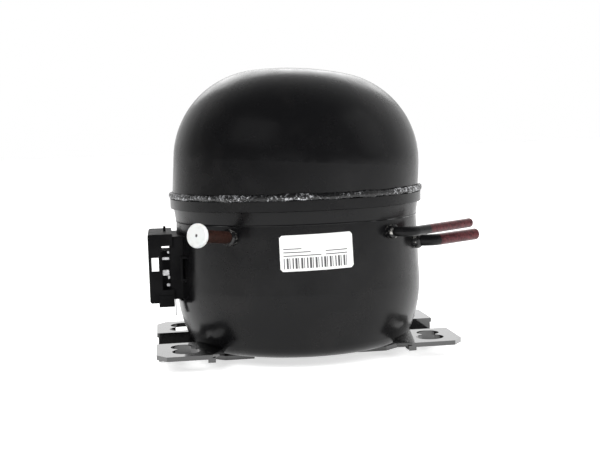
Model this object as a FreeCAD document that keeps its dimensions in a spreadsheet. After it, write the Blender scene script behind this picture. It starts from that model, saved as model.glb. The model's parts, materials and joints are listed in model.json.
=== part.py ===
import FreeCAD, Part
import Sketcher
import math
import os

os.makedirs("parts", exist_ok=True)

# A hermetic reciprocating compressor, in millimetres.
# The origin is the centre of the foot holes, on the underside of the foot pads.
# +X runs to the right along the longer hole spacing, +Y to the back and +Z up.

SIZES = {
    # Shell
    "shell_wall": 3.0,
    "dome_room": 59.0,
    "crown_radius": 206.0,
    "crown_lean": 4.0,
    "shoulder_radius": 62.5,
    "side_step": 0.3,
    "dome_step": 2.0,
    "rim_step": 2.2,
    "rim_top": 101.5,
    "rim_depth": 6.5,
    "skirt_clear": 0.5,
    "seam_gap": 0.05,
    "joggle_rise": 1.1,
    "taper_depth": 8.5,
    "ridge_height": 0.5,
    "ridge_width": 1.2,
    "neck_step": 1.4,
    "belly_radius": 86.2,
    "belly_level": 41.0,
    "belly_curve": 92.0,
    "corner_step": 7.15,
    "corner_level": 5.4,
    "corner_curve": 12.5,
    "corner_lean": 23.0,
    "bowl_step": 15.2,
    "bowl_level": -1.7,
    "bowl_lean": 10.8,
    "land_radius": 30.0,
    "land_level": -9.5,
    "weld_rise": 3.4,
    "weld_overhang": 0.8,
    # Feet
    "plate": 3.0,
    "inner_hole_x": 85.0,
    "inner_hole_y": 35.0,
    "inner_hole_radius": 7.7,
    "outer_hole_x": 82.55,
    "outer_hole_y": 50.8,
    "outer_hole_radius": 9.3,
    "hole_waist": 9.0,
    "pad_end": 102.0,
    "pad_front": 68.0,
    "pad_inner": 56.0,
    "pad_corner_x": 6.5,
    "pad_corner_y": 9.0,
    "lobe_x": 66.0,
    "lobe_y": 57.0,
    "lobe_run": 5.0,
    "lobe_back": 12.0,
    "lip_drop": 2.2,
    "lip_sink": 1.0,
    "lip_in": 2.0,
    "lip_out": 3.0,
    "channel_half": 21.0,
    "channel_drop": 5.5,
    "channel_inset": 1.0,
    "tail_end": 36.0,
    "tail_half": 33.0,
    # Tubes
    "tube_wall": 0.8,
    "suction_radius": 4.0,
    "discharge_radius": 3.175,
    "process_radius": 4.0,
    "collar_wall": 1.5,
    "collar_lip": 0.5,
    "collar_out": 4.0,
    "collar_in": 5.0,
    "suction_level": 68.2,
    "suction_angle": -25.8,
    "suction_run": 12.0,
    "suction_end_run": 47.25,
    "suction_end_angle": 36.5,
    "suction_bend": 12.0,
    "discharge_level": 77.8,
    "discharge_angle": -51.0,
    "discharge_run": 14.0,
    "discharge_end_run": 73.5,
    "discharge_end_angle": 41.5,
    "discharge_bend": 9.5,
    "process_level": 78.0,
    "process_rise": 7.5,
    "process_angle": -127.0,
    "process_length": 34.5,
    "plug_radius": 7.6,
    "plug_head": 3.0,
    "plug_round": 0.8,
    "plug_grip": 8.0,
    "plug_gap": 0.05,
    "dimple_radius": 0.9,
    "dimple_depth": 1.0,
    # Terminal and cover
    "terminal_level": 53.0,
    "terminal_radius": 15.5,
    "terminal_stand": 1.8,
    "terminal_sink": 7.2,
    "terminal_floor": 2.0,
    "pin_radius": 1.15,
    "pin_circle": 6.5,
    "pin_stand": 8.0,
    "pin_sink": 7.0,
    "glass_radius": 2.8,
    "connector_half": 9.5,
    "connector_past": 2.5,
    "cover_gap": 0.5,
    "cover_depth": 16.5,
    "cover_half": 27.0,
    "cover_bottom": 32.2,
    "cover_top": 79.0,
    "cover_wall": 1.6,
    "cover_corner": 1.5,
    "window_inset": 1.4,
    "window_width": 6.3,
    "window_bottom": 54.0,
    "rear_window_bottom": 47.0,
    "window_top": 63.3,
    "mouth_bar": 1.2,
    "mouth_bottom": 41.0,
    "mouth_top": 71.0,
    "spout_depth": 10.4,
    "spout_proud": 0.9,
    "spout_drop": 2.7,
    "spout_rise": 5.0,
    "peg_radius": 0.9,
    "peg_height": 3.5,
    "peg_inset": 4.9,
    "fence_gap": 0.4,
    "fence_wall": 1.2,
    "fence_grip": 2.0,
    "fence_sink": 12.0,
    "relay_room": 5.2,
    "relay_gap": 2.0,
    "relay_low_y": -19.0,
    "relay_high_y": 2.0,
    "relay_bottom": 38.0,
    "relay_top": 67.0,
    "overload_radius": 9.0,
    "overload_y": 12.0,
    "overload_level": 52.0,
    "pin_gap": 0.05,
    "socket_gap": 0.2,
    "hook_half": 8.2,
    "hook_level": 55.3,
    "hook_inset": 2.6,
    "hook_sink": 8.0,
    "hook_width": 5.0,
    "hook_wall": 1.3,
    "hook_y": -27.0,
    "tab_wall": 0.8,
    "tab_width": 6.3,
    "tab_drop": 12.0,
    "tab_y": -18.0,
    # Motor
    "stator_bottom": 36.0,
    "stator_stack": 50.0,
    "stator_half": 56.0,
    "stator_corner": 68.0,
    "rotor_radius": 30.6,
    "air_gap": 0.4,
    "slot_out": 45.0,
    "slot_start": 33.0,
    "slot_width": 4.4,
    "slot_gap": 0.25,
    "winding_out": 46.5,
    "winding_height": 15.0,
    "winding_round": 4.0,
    "cage_height": 5.0,
    "cage_in": 16.5,
    "cage_out": 29.5,
    "bolt_place": 42.0,
    "bolt_radius": 3.0,
    "bolt_gap": 0.2,
    "bolt_grip": 12.0,
    # Shaft and mechanism
    "shaft_radius": 8.0,
    "running_gap": 0.04,
    "shaft_bottom": 14.0,
    "throw": 8.0,
    "block_leg": 16.0,
    "leg_half": 6.5,
    "arm_margin": 7.0,
    "notch_radius": 24.5,
    "notch_place": 56.35,
    "block_plate": 7.0,
    "hub_depth": 14.0,
    "hub_radius": 15.0,
    "washer": 1.0,
    "washer_radius": 14.0,
    "web": 7.0,
    "web_radius": 14.5,
    "pin_journal": 6.0,
    "pin_proud": 0.5,
    "web_clear": 2.0,
    "yoke_rise": 22.0,
    "block_journal": 9.0,
    "block_half": 10.0,
    "yoke_wall": 2.5,
    "yoke_half": 21.0,
    "counter_radius": 22.0,
    "counter_back": 1.0,
    "piston_radius": 13.0,
    "piston_length": 26.0,
    "piston_neck": 7.0,
    "neck_grip": 4.0,
    "piston_floor": 6.0,
    "piston_bore": 9.0,
    "top_clearance": 1.2,
    "cylinder_in": 24.0,
    "head_room": 30.2,
    "pedestal_inset": 4.0,
    "cylinder_wall": 7.0,
    "gasket": 0.6,
    "valve_plate": 3.2,
    "head_thick": 10.5,
    "head_half": 19.0,
    "head_wall": 4.0,
    "port_place": 5.0,
    "port_drop": 3.0,
    "port_radius": 2.6,
    "reed_thick": 0.3,
    "reed_length": 15.0,
    "reed_width": 7.5,
    "reed_gap": 0.15,
    "head_bolt_radius": 2.5,
    "head_bolt_place": 14.5,
    "cap_radius": 4.5,
    "cap_height": 3.0,
    "shank_grip": 10.0,
    "thread_depth": 12.0,
    "rib_half": 0.9,
    "gallery_radius": 2.2,
    "gallery_bottom": 24.0,
    "metering_length": 8.0,
    "metering_hole": 0.7,
    "pickup_radius": 6.0,
    "pickup_length": 16.0,
    "pickup_tip": 3.0,
    "pickup_wall": 1.0,
    # Suspension
    "snubber_radius": 9.5,
    "snubber_pin": 5.4,
    "snubber_seat": 4.0,
    "snubber_sink": 8.0,
    "snubber_pin_height": 8.0,
    "upper_seat": 3.5,
    "spring_radius": 8.2,
    "spring_wire": 1.1,
    "seat_gap": 0.2,
    # Mufflers
    "muffler_low_x": -55.0,
    "muffler_high_x": -30.0,
    "muffler_low_y": 27.0,
    "muffler_high_y": 49.0,
    "muffler_chamfer": 3.0,
    "muffler_height": 41.0,
    "can_radius": 12.5,
    "can_x": -38.0,
    "can_y": -39.0,
    "can_height": 32.0,
    "can_chamfer": 4.0,
    "loop_radius": 2.4,
    "lead_radius": 2.4,
    "lead_bend": 9.0,
    "loop_bend": 6.0,
    "loop_inset": 7.5,
    "loop_rise": 14.0,
    "loop_side": 58.0,
    "cut_spare": 1.0,
}

doc = FreeCAD.newDocument("Compressor")
sheet = doc.addObject("Spreadsheet::Sheet", "Sizes")
for row, (alias, number) in enumerate(SIZES.items(), start=1):
    sheet.set(f"A{row}", alias)
    sheet.set(f"B{row}", str(number))
    sheet.setAlias(f"B{row}", alias)
doc.recompute()


class Size:
    """A length that holds its number and the sheet expression that gives it."""

    def __init__(self, number, text):
        self.number = float(number)
        self.text = text

    def __add__(self, other):
        other = as_size(other)
        return Size(self.number + other.number, f"({self.text} + {other.text})")

    def __radd__(self, other):
        return as_size(other) + self

    def __sub__(self, other):
        other = as_size(other)
        return Size(self.number - other.number, f"({self.text} - {other.text})")

    def __rsub__(self, other):
        return as_size(other) - self

    def __mul__(self, other):
        other = as_size(other)
        return Size(self.number * other.number, f"({self.text} * {other.text})")

    def __rmul__(self, other):
        return as_size(other) * self

    def __truediv__(self, other):
        other = as_size(other)
        return Size(self.number / other.number, f"({self.text} / {other.text})")

    def __neg__(self):
        return Size(-self.number, f"(-1 * {self.text})")

    def root(self):
        return Size(math.sqrt(self.number), f"sqrt({self.text})")


def as_size(value):
    if isinstance(value, Size):
        return value
    return Size(value, repr(float(value)))


def size(alias):
    return Size(SIZES[alias], "Sizes." + alias)


def cosine(angle):
    angle = as_size(angle)
    return Size(math.cos(math.radians(angle.number)), f"cos({angle.text} * 1 deg)")


def sine(angle):
    angle = as_size(angle)
    return Size(math.sin(math.radians(angle.number)), f"sin({angle.text} * 1 deg)")


ZERO = as_size(0.0)
X_AXIS = FreeCAD.Vector(1, 0, 0)
Y_AXIS = FreeCAD.Vector(0, 1, 0)
Z_AXIS = FreeCAD.Vector(0, 0, 1)


# Places that follow from other sizes

belly = size("belly_radius")
neck_radius = belly - size("neck_step")
rim_radius = belly + size("rim_step")
dome_radius = rim_radius - size("dome_step")
terminal_out = belly + size("terminal_stand")
terminal_in = belly - size("terminal_sink")
pin_out = terminal_out + size("pin_stand")
pin_in = terminal_in - size("pin_sink")
connector_in = pin_in - size("connector_past")
cover_near = terminal_out + size("cover_gap")
cover_far = cover_near + size("cover_depth")
relay_in = terminal_out + size("relay_gap")
relay_out = cover_far - size("cover_wall") - size("relay_room")
stator_bottom = size("stator_bottom")
stator_top = stator_bottom + size("stator_stack")
plate_bottom = stator_top + size("block_leg")
plate_top = plate_bottom + size("block_plate")
hub_bottom = plate_bottom - size("hub_depth")
yoke_level = plate_top + size("yoke_rise")
dome_apex = yoke_level + size("dome_room")
cylinder_out = belly - size("head_room")
spare = size("cut_spare")


def bind(thing, prop, value):
    thing.setExpression(prop, as_size(value).text)


def place(thing, at=(0, 0, 0), along=Z_AXIS, turn=None):
    """Puts an object's origin at a point, with its own Z along a direction."""
    rotation = FreeCAD.Rotation(Z_AXIS, along)
    if turn is not None:
        rotation = FreeCAD.Rotation(Z_AXIS, turn) * rotation
    point = [as_size(value) for value in at]
    thing.Placement = FreeCAD.Placement(FreeCAD.Vector(*[value.number for value in point]), rotation)
    for letter, value in zip("xyz", point):
        thing.setExpression(f"Placement.Base.{letter}", value.text)
    return thing


def cylinder(name, radius, height, at=(0, 0, 0), along=Z_AXIS, turn=None):
    thing = doc.addObject("Part::Cylinder", name)
    bind(thing, "Radius", radius)
    bind(thing, "Height", height)
    return place(thing, at, along, turn)


def box(name, low, high):
    """A box between two corners, each given as three sizes."""
    low = [as_size(value) for value in low]
    high = [as_size(value) for value in high]
    thing = doc.addObject("Part::Box", name)
    for prop, start, end in zip(("Length", "Width", "Height"), low, high):
        bind(thing, prop, end - start)
    return place(thing, low)


def joined(kind, name, things):
    thing = doc.addObject(kind, name)
    thing.Shapes = list(things)
    return thing


def fuse(name, *things):
    thing = joined("Part::MultiFuse", name, things)
    thing.Refine = True
    return thing


def common(name, *things):
    return joined("Part::MultiCommon", name, things)


def group(name, things):
    """Separate solids that share one node, such as four alike fasteners."""
    thing = doc.addObject("Part::Compound", name)
    thing.Links = list(things)
    return thing


def cut(name, base, *tools):
    tool = tools[0]
    if len(tools) > 1:
        tool = joined("Part::MultiFuse", name + "_tools", tools)
    thing = doc.addObject("Part::Cut", name)
    thing.Base = base
    thing.Tool = tool
    return thing


def origin_plane(body, role):
    for feature in body.Origin.OriginFeatures:
        if feature.Role == role:
            return feature
    raise ValueError(role)


def arc_centre(start, end, radius):
    """The centre of a short arc; a positive radius turns left from start to end."""
    chord = end - start
    middle = (start + end) * 0.5
    left = FreeCAD.Vector(-chord.y, chord.x, 0).normalize()
    reach = math.sqrt(max(radius * radius - chord.Length ** 2 / 4, 0.0))
    return middle + left * math.copysign(reach, radius)


def add_outline(sketch, outline):
    """Draws a closed outline; a corner's third entry makes the edge that leaves it an arc."""
    corners = [(as_size(corner[0]), as_size(corner[1])) for corner in outline]
    points = [FreeCAD.Vector(across.number, up.number, 0) for across, up in corners]
    ends = []
    for index, corner in enumerate(outline):
        start = points[index]
        end = points[(index + 1) % len(points)]
        if len(corner) == 2:
            edge = sketch.addGeometry(Part.LineSegment(start, end), False)
            ends.append((edge, 1, 2))
        else:
            bend = as_size(corner[2])
            centre = arc_centre(start, end, bend.number)
            first = math.atan2(start.y - centre.y, start.x - centre.x)
            last = math.atan2(end.y - centre.y, end.x - centre.x)
            if bend.number < 0:
                first, last = last, first
            circle = Part.Circle(centre, Z_AXIS, abs(bend.number))
            edge = sketch.addGeometry(Part.ArcOfCircle(circle, first, last), False)
            ends.append((edge, 1, 2) if bend.number > 0 else (edge, 2, 1))
            limit = sketch.addConstraint(Sketcher.Constraint("Radius", edge, abs(bend.number)))
            sketch.setExpression(f"Constraints[{limit}]", bend.text if bend.number > 0 else (-bend).text)
    for index, (edge, start_end, _) in enumerate(ends):
        before, _, finish_end = ends[index - 1]
        sketch.addConstraint(Sketcher.Constraint("Coincident", before, finish_end, edge, start_end))
        for kind, value in zip(("DistanceX", "DistanceY"), corners[index]):
            limit = sketch.addConstraint(Sketcher.Constraint(kind, edge, start_end, value.number))
            sketch.setExpression(f"Constraints[{limit}]", value.text)


def new_sketch(body, role, outlines):
    sketch = body.newObject("Sketcher::SketchObject", body.Name + "_sketch")
    sketch.AttachmentSupport = [(origin_plane(body, role), "")]
    sketch.MapMode = "FlatFace"
    for outline in outlines:
        add_outline(sketch, outline)
    return sketch


def turned(name, outline, at=(0, 0, 0), along=Z_AXIS, turn=None):
    """A solid of revolution: the outline's corners are (radius, height)."""
    body = doc.addObject("PartDesign::Body", name)
    sketch = new_sketch(body, "XZ_Plane", [outline])
    feature = body.newObject("PartDesign::Revolution", name + "_turn")
    feature.Profile = sketch
    feature.ReferenceAxis = (sketch, ["V_Axis"])
    feature.Angle = 360.0
    return place(body, at, along, turn)


def padded(name, outlines, thickness, at=(0, 0, 0), along=Z_AXIS, turn=None):
    """A flat outline on XY, thickened along Z."""
    body = doc.addObject("PartDesign::Body", name)
    sketch = new_sketch(body, "XY_Plane", outlines)
    feature = body.newObject("PartDesign::Pad", name + "_pad")
    feature.Profile = sketch
    bind(feature, "Length", thickness)
    return place(body, at, along, turn)


NODES = []


def node(thing):
    """Marks an object as one of the finished pieces."""
    thing.Label = thing.Name
    NODES.append(thing)
    return thing


# Shell

wall = size("shell_wall")
rim_top = size("rim_top")
rim_bottom = rim_top - size("rim_depth")
neck_level = rim_bottom - size("taper_depth")
skirt_radius = rim_radius - wall - size("seam_gap")
joggle_top = rim_top + size("joggle_rise")


def outer_corners():
    """The lower shell's outside, from the middle of the bottom up to the rim."""
    return [
        (ZERO, size("land_level")),
        (size("land_radius"), size("land_level")),
        (belly - size("bowl_step"), size("bowl_level"), size("corner_curve")),
        (belly - size("corner_step"), size("corner_level"), size("belly_curve")),
        (belly, size("belly_level")),
        (neck_radius, neck_level - size("ridge_width")),
        (neck_radius + size("ridge_height"), neck_level - size("ridge_width") / 2),
        (neck_radius + size("ridge_height") / 2, neck_level),
        (belly, rim_bottom - size("ridge_height")),
        (rim_radius, rim_bottom),
        (rim_radius, rim_top),
    ]


def inner_corners():
    """The lower shell's inside, from the rim down to the middle of the bottom."""
    corner_out = belly - size("corner_step") - wall * cosine(size("corner_lean"))
    corner_level = size("corner_level") + wall * sine(size("corner_lean"))
    bowl_out = belly - size("bowl_step") - wall * sine(size("bowl_lean"))
    bowl_level = size("bowl_level") + wall * cosine(size("bowl_lean"))
    return [
        (rim_radius - wall, rim_top),
        (rim_radius - wall, rim_bottom - size("ridge_height")),
        (neck_radius - wall, neck_level),
        (belly - wall, size("belly_level"), wall - size("belly_curve")),
        (corner_out, corner_level, wall - size("corner_curve")),
        (bowl_out, bowl_level),
        (size("land_radius"), size("land_level") + wall),
        (ZERO, size("land_level") + wall),
    ]


weld_top = joggle_top + size("weld_rise")
side_radius = dome_radius - size("side_step")
crown_lean = size("crown_lean")


def dome_solid(name, inset):
    """The dome's outside, or its inside when inset by the wall: a leaning cap on an upright side."""
    radius = dome_radius - inset
    crown = size("crown_radius") - inset
    shoulder = size("shoulder_radius") - inset
    crown_centre = (dome_apex - size("crown_radius") - weld_top) / cosine(crown_lean)
    reach = crown - shoulder
    shoulder_centre = radius - shoulder
    rise = (reach * reach - shoulder_centre * shoulder_centre).root()
    side_top = crown_centre + rise
    share = crown / reach
    below = -2 * radius * sine(crown_lean)
    leaning = turned(name + "_leaning", [
        (ZERO, below),
        (radius, below),
        (radius, side_top, shoulder),
        (shoulder_centre * share, crown_centre + rise * share, crown),
        (ZERO, crown_centre + crown),
    ], (0, 0, weld_top), FreeCAD.Vector(sine(crown_lean).number, 0, cosine(crown_lean).number))
    room = cylinder(name + "_room", dome_radius * 2, dome_apex, (0, 0, weld_top))
    side = cylinder(name + "_side", radius - size("side_step"), weld_top - joggle_top, (0, 0, joggle_top))
    return fuse(name, common(name + "_cap", leaning, room), side)


dome = cut("dome", dome_solid("dome_outside", 0), dome_solid("dome_inside", wall))
skirt = turned("skirt", [
    (skirt_radius, rim_bottom + size("skirt_clear")),
    (skirt_radius, rim_top),
    (side_radius, joggle_top),
    (side_radius - wall, joggle_top),
    (skirt_radius - wall, rim_top),
    (skirt_radius - wall, rim_bottom + size("skirt_clear")),
])
node(fuse("upper_shell", dome, skirt))

node(turned("seam_weld", [
    (skirt_radius, rim_top),
    (rim_radius, rim_top),
    (rim_radius + size("weld_overhang"), joggle_top),
    (rim_radius, joggle_top + size("weld_rise") / 2),
    (side_radius, weld_top),
    (side_radius, joggle_top),
]))

shell_section = turned("shell_section", outer_corners() + inner_corners())
shell_blank = turned("shell_blank", outer_corners() + [(ZERO, rim_top)])
shell_inside = turned("shell_inside", inner_corners() + [(ZERO, rim_top)])


# Tubes through the shell

def bearing(angle, rise=0.0):
    """The direction of an angle from +X in plan, tilted up by a rise, both in degrees."""
    radians = math.radians(angle)
    climb = math.radians(rise)
    flat = math.cos(climb)
    return FreeCAD.Vector(math.cos(radians) * flat, math.sin(radians) * flat, math.sin(climb))


def spot(angle_alias, distance, level):
    angle = size(angle_alias)
    return (distance * cosine(angle), distance * sine(angle), level)


TUBES = {
    "suction": (size("suction_radius"), size("suction_level"), bearing(SIZES["suction_angle"])),
    "discharge": (size("discharge_radius"), size("discharge_level"), bearing(SIZES["discharge_angle"])),
    "process": (size("process_radius"), size("process_level"),
                bearing(SIZES["process_angle"], SIZES["process_rise"])),
}
wall_holes = []
for tube, (radius, level, way) in TUBES.items():
    collar_radius = radius + size("collar_wall")
    length = size("collar_out") + size("collar_in")
    start = spot(tube + "_angle", belly - size("collar_in"), level)
    wall_holes.append(cylinder(tube + "_drill", collar_radius, length, start, way))
    solid = turned(tube + "_collar", [
        (radius, ZERO),
        (collar_radius, ZERO),
        (collar_radius, length - size("collar_wall")),
        (radius + size("collar_lip"), length),
        (radius, length),
    ], start, way)
    node(solid)


def pipe_wire(points, bend):
    """Straight runs joined by tangent arcs of one radius."""
    edges = []
    previous = points[0]
    for index in range(1, len(points) - 1):
        corner = points[index]
        before = (points[index - 1] - corner).normalize()
        after = (points[index + 1] - corner).normalize()
        half = before.getAngle(after) / 2
        setback = bend / math.tan(half)
        start = corner + before * setback
        end = corner + after * setback
        middle_way = (before + after).normalize()
        middle = corner + middle_way * (bend / math.sin(half) - bend)
        edges.append(Part.LineSegment(previous, start).toShape())
        edges.append(Part.Arc(start, middle, end).toShape())
        previous = end
    edges.append(Part.LineSegment(previous, points[-1]).toShape())
    return Part.Wire(edges)


def swept(points, bend, radius):
    wire = pipe_wire(points, bend)
    profile = Part.Wire([Part.Circle(points[0], points[1] - points[0], radius).toShape()])
    return wire.makePipeShell([profile], True, True)


def bent_tube(name, points, bend, radius, bore):
    """A round tube along a bent path, made from the sheet's sizes."""
    thing = doc.addObject("Part::Feature", name)
    shape = swept(points, bend, radius)
    if bore > 0:
        shape = shape.cut(swept(points, bend, bore))
    thing.Shape = shape
    return node(thing)


def outlet_points(tube):
    """A tube's path: square out of the shell, then round to the direction of its end."""
    _, level, out = TUBES[tube]
    height = FreeCAD.Vector(0, 0, level.number)
    inside = belly.number - SIZES["collar_in"]
    start = out * inside + height
    corner = out * (belly.number + SIZES[tube + "_run"]) + height
    end = corner + bearing(SIZES[tube + "_end_angle"]) * SIZES[tube + "_end_run"]
    return [start, corner, end]


for tube in ("suction", "discharge"):
    radius = TUBES[tube][0].number
    bent_tube(tube + "_tube", outlet_points(tube), SIZES[tube + "_bend"], radius, radius - SIZES["tube_wall"])

process_radius, process_level, process_way = TUBES["process"]
process_start = belly - size("collar_in")
process_reach = size("collar_in") + size("process_length")
process_spot = spot("process_angle", process_start, process_level)
process_inside = process_radius - size("tube_wall")
process_outer = cylinder("process_outer", process_radius, process_reach, process_spot, process_way)
process_bore = cylinder("process_bore", process_inside, process_reach, process_spot, process_way)
node(cut("process_tube", process_outer, process_bore))

# The plug is a stopper: its stem fills the tube's end and its head stands on the rim.
stem_radius = process_inside - size("plug_gap")
stem_end = process_reach - size("plug_grip")
head_low = process_reach + size("plug_gap")
head_high = head_low + size("plug_head")
node(turned("process_plug", [
    (ZERO, stem_end),
    (stem_radius, stem_end),
    (stem_radius, head_low),
    (size("plug_radius") - size("plug_round"), head_low),
    (size("plug_radius"), head_low + size("plug_round")),
    (size("plug_radius"), head_high - size("plug_round")),
    (size("plug_radius") - size("plug_round"), head_high),
    (size("dimple_radius"), head_high),
    (ZERO, head_high - size("dimple_depth")),
], process_spot, process_way))


# Terminal hole and the finished lower shell

terminal_level = size("terminal_level")
terminal_drill = cylinder("terminal_drill", size("terminal_radius"),
                          terminal_out - terminal_in,
                          (-terminal_out, 0, terminal_level), X_AXIS)
node(cut("lower_shell", shell_section, terminal_drill, *wall_holes))


# Feet

plate = size("plate")
channel_floor = -size("channel_drop")
channel_under = channel_floor - plate


def pad_outline():
    end = size("pad_end")
    front = size("pad_front")
    corner_x = size("pad_corner_x")
    corner_y = size("pad_corner_y")
    inner = size("pad_inner")
    return [
        (inner, size("channel_half")),
        (end, size("channel_half")),
        (end, front - corner_y),
        (end - corner_x, front),
        (size("lobe_x"), front),
        (size("lobe_x") - size("lobe_run"), size("lobe_y")),
        (inner, size("lobe_y") - size("lobe_back")),
    ]


def foot_bracket(name, side):
    """One foot: two pads, a pressed channel between them and a tail under the shell."""
    end = size("pad_end")
    pieces = []
    holes = []
    for way, tag in ((1, "rear"), (-1, "front")):
        corners = [(across * side, along * way) for across, along in pad_outline()]
        pieces.append(padded(f"{name}_{tag}_pad", [corners], plate))
        reach = size("channel_half")
        low_x = min(size("pad_inner") * side, (end - size("channel_inset")) * side, key=lambda s: s.number)
        high_x = max(size("pad_inner") * side, (end - size("channel_inset")) * side, key=lambda s: s.number)
        low_y = min(reach * way, (reach + plate) * way, key=lambda s: s.number)
        high_y = max(reach * way, (reach + plate) * way, key=lambda s: s.number)
        pieces.append(box(f"{name}_{tag}_wall", (low_x, low_y, channel_under), (high_x, high_y, plate)))
        lip_y = [size("lobe_y") * way, size("pad_front") * way]
        lip_x = [(size("lobe_x") - size("lip_in")) * side, (size("lobe_x") + size("lip_out")) * side]
        lip_y.sort(key=lambda s: s.number)
        lip_x.sort(key=lambda s: s.number)
        pieces.append(box(f"{name}_{tag}_lip", (lip_x[0], lip_y[0], -size("lip_drop")),
                          (lip_x[1], lip_y[1], size("lip_sink"))))
        drill_height = plate * 3
        holes.append(cylinder(f"{name}_{tag}_inner_hole", size("inner_hole_radius"), drill_height,
                              (size("inner_hole_x") * side, size("inner_hole_y") * way, -plate)))
        holes.append(cylinder(f"{name}_{tag}_outer_hole", size("outer_hole_radius"), drill_height,
                              (size("outer_hole_x") * side, size("outer_hole_y") * way, -plate)))
        waist = size("hole_waist") / 2
        middle_x = (size("inner_hole_x") + size("outer_hole_x")) / 2 * side
        waist_y = [size("inner_hole_y") * way, size("outer_hole_y") * way]
        waist_y.sort(key=lambda s: s.number)
        holes.append(box(f"{name}_{tag}_waist", (middle_x - waist, waist_y[0], -plate),
                         (middle_x + waist, waist_y[1], plate * 2)))
    floor_half = size("channel_half") + plate
    tail = [
        (size("tail_end"), -size("tail_half")),
        (size("pad_inner"), -size("tail_half")),
        (size("lobe_x"), -floor_half),
        (end - size("channel_inset"), -floor_half),
        (end - size("channel_inset"), floor_half),
        (size("lobe_x"), floor_half),
        (size("pad_inner"), size("tail_half")),
        (size("tail_end"), size("tail_half")),
    ]
    corners = [(across * side, along) for across, along in tail]
    pieces.append(padded(f"{name}_floor", [corners], plate, (0, 0, channel_under)))
    whole = fuse(f"{name}_whole", *pieces)
    node(cut(name, whole, shell_blank, *holes))


foot_bracket("left_foot_bracket", -1)
foot_bracket("right_foot_bracket", 1)


# Terminal, relay and cover

pin_spots = []
for index in range(3):
    angle = math.radians(90 + 120 * index)
    pin_spots.append((size("pin_circle") * math.cos(angle), terminal_level + size("pin_circle") * math.sin(angle)))

cup = cylinder("terminal_cup", size("terminal_radius"), terminal_out - terminal_in,
               (-terminal_out, 0, terminal_level), X_AXIS)
hollow = cylinder("terminal_hollow", size("terminal_radius") - size("terminal_floor"),
                  terminal_out - terminal_in - size("terminal_floor"),
                  (-terminal_out + size("terminal_floor"), 0, terminal_level), X_AXIS)
glass_holes = []
glasses = []
pins = []
for index, (pin_y, pin_z) in enumerate(pin_spots):
    start = (-terminal_out, pin_y, pin_z)
    glass_holes.append(cylinder(f"glass_hole_{index}", size("glass_radius"), size("terminal_floor"), start, X_AXIS))
    bead = cylinder(f"glass_bead_{index}", size("glass_radius"), size("terminal_floor"), start, X_AXIS)
    bore = cylinder(f"glass_bore_{index}", size("pin_radius"), size("terminal_floor"), start, X_AXIS)
    glasses.append(cut(f"glass_ring_{index}", bead, bore))
    pins.append(cylinder(f"terminal_pin_{index}", size("pin_radius"), pin_out - pin_in,
                         (-pin_out, pin_y, pin_z), X_AXIS))
node(cut("terminal_body", cup, hollow, *glass_holes))
node(group("terminal_glass", glasses))
node(group("terminal_pins", pins))
connector = box("connector_box", (-terminal_in + size("terminal_floor"), -size("connector_half"),
                                  terminal_level - size("connector_half")),
                (-connector_in, size("connector_half"), terminal_level + size("connector_half")))
connector_holes = [
    cylinder(f"connector_hole_{index}", size("pin_radius") + size("pin_gap"),
             terminal_in - pin_in + size("socket_gap"),
             (-terminal_in, pin_y, pin_z), X_AXIS)
    for index, (pin_y, pin_z) in enumerate(pin_spots)
]
node(cut("terminal_connector", connector, *connector_holes))

cover_wall = size("cover_wall")
cover_out = -cover_far
cover_in = -cover_near
cover_half = size("cover_half")
outer_box = box("cover_outer", (cover_out, -cover_half, size("cover_bottom")),
                (cover_in, cover_half, size("cover_top")))
doc.recompute()
cover_round = doc.addObject("Part::Fillet", "cover_round")
cover_round.Base = outer_box
cover_round.Edges = [
    (index, SIZES["cover_corner"], SIZES["cover_corner"])
    for index, edge in enumerate(outer_box.Shape.Edges, start=1)
    if edge.BoundBox.XMax < cover_in.number - spare.number
]
inner_box = box("cover_inner", (cover_out + cover_wall, -cover_half + cover_wall, size("cover_bottom") + cover_wall),
                (cover_in + spare, cover_half - cover_wall, size("cover_top") - cover_wall))
window_low_x = cover_out + size("window_inset")
window_high_x = window_low_x + size("window_width")
window = box("cover_window", (window_low_x, -cover_half - spare, size("window_bottom")),
             (window_high_x, ZERO, size("window_top")))
rear_window = box("cover_rear_window", (window_low_x, ZERO, size("rear_window_bottom")),
                  (window_high_x, cover_half + spare, size("window_top")))
mouth = box("cover_mouth", (window_high_x + size("mouth_bar"), -cover_half - spare, size("mouth_bottom")),
            (cover_in + spare, cover_half + spare, size("mouth_top")))
spout_low_x = cover_in - size("spout_depth")
spout_half = cover_half + size("spout_proud")
spout_low = size("cover_bottom") - size("spout_drop")
spout_high = size("cover_bottom") + size("spout_rise")
spout_outer = box("spout_outer", (spout_low_x, -spout_half, spout_low), (cover_in, spout_half, spout_high))
spout_inner = box("spout_inner", (spout_low_x + cover_wall, -spout_half + cover_wall, spout_low + cover_wall),
                  (cover_in + spare, spout_half - cover_wall, spout_high))
peg = cylinder("cover_peg", size("peg_radius"), size("peg_height") + cover_wall,
               (cover_in - size("peg_inset"), 0, size("cover_top") - cover_wall))
cover_solid = fuse("cover_solid", cover_round, spout_outer, peg)
node(cut("relay_cover", cover_solid, inner_box, window, rear_window, mouth, spout_inner))

fence_gap = size("fence_gap")
fence_wall = size("fence_wall")
fence_half = cover_half - cover_wall - fence_gap
fence_bottom = size("cover_bottom") + cover_wall + fence_gap
fence_top = size("cover_top") - cover_wall - fence_gap
fence_out = cover_in - size("fence_grip")
fence_in = -neck_radius + size("fence_sink")
fence_outer = box("fence_outer", (fence_out, -fence_half, fence_bottom), (fence_in, fence_half, fence_top))
fence_inner = box("fence_inner", (fence_out - spare, -fence_half + fence_wall, fence_bottom + fence_wall),
                  (fence_in + spare, fence_half - fence_wall, fence_top - fence_wall))
node(cut("terminal_fence", fence_outer, fence_inner, shell_blank))

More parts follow.
